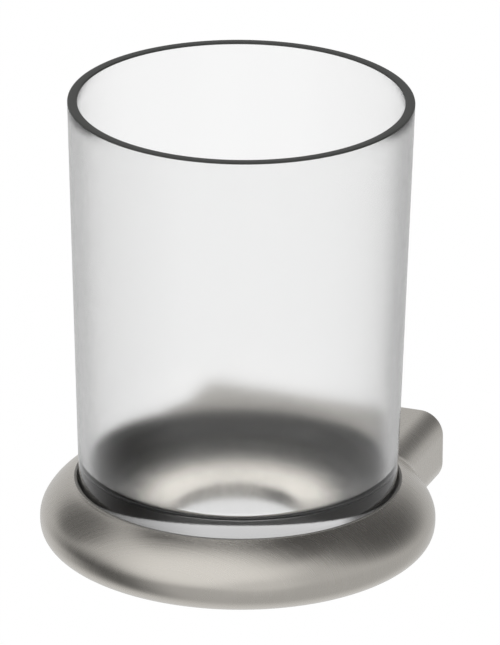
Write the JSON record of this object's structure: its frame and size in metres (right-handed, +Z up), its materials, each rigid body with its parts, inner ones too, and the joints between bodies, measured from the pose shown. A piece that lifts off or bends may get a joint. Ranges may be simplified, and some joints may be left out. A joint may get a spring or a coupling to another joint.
{
  "type": "tumbler holder",
  "caption": "Wall-mounted tumbler holder: a frosted glass tumbler in a rounded brushed metal ring on a short rounded block.",
  "frame": {"origin": "centre of the face that meets the wall, at the mid-height of block and ring", "axes": "+Y into the wall, +X to the right seen from the room, +Z up along the tumbler's axis"},
  "size_m": [0.0806, 0.0883, 0.0984],
  "materials": {
    "frosted_glass": "satin frosted, clear at the base, polished rim",
    "liner_plastic": "dark grey, matte",
    "brushed_nickel": "brushed, warm grey nickel",
    "plate_steel": "plain steel, zinc plated",
    "screw_steel": "stainless steel",
    "washer_steel": "spring steel"
  },
  "bodies": {
    "holder": {"holder_ring": "brushed_nickel", "wall_block": "brushed_nickel", "seat_liner": "liner_plastic", "wall_plate": "plate_steel", "joint_screw_left": "screw_steel", "joint_screw_right": "screw_steel", "lock_washer_left": "washer_steel", "lock_washer_right": "washer_steel"},
    "tumbler": {"tumbler": "frosted_glass"},
    "clamp_screw": {"clamp_screw": "screw_steel"}
  },
  "joints": [
    {"name": "tumbler_lift", "type": "slide", "parent": "holder", "child": "tumbler", "axis": [0, 0, 1], "range_m": [0, 0.03]},
    {"name": "clamp_screw_travel", "type": "slide", "parent": "holder", "child": "clamp_screw", "axis": [0, 0, -1], "range_m": [0, 0.0015]}
  ]
}
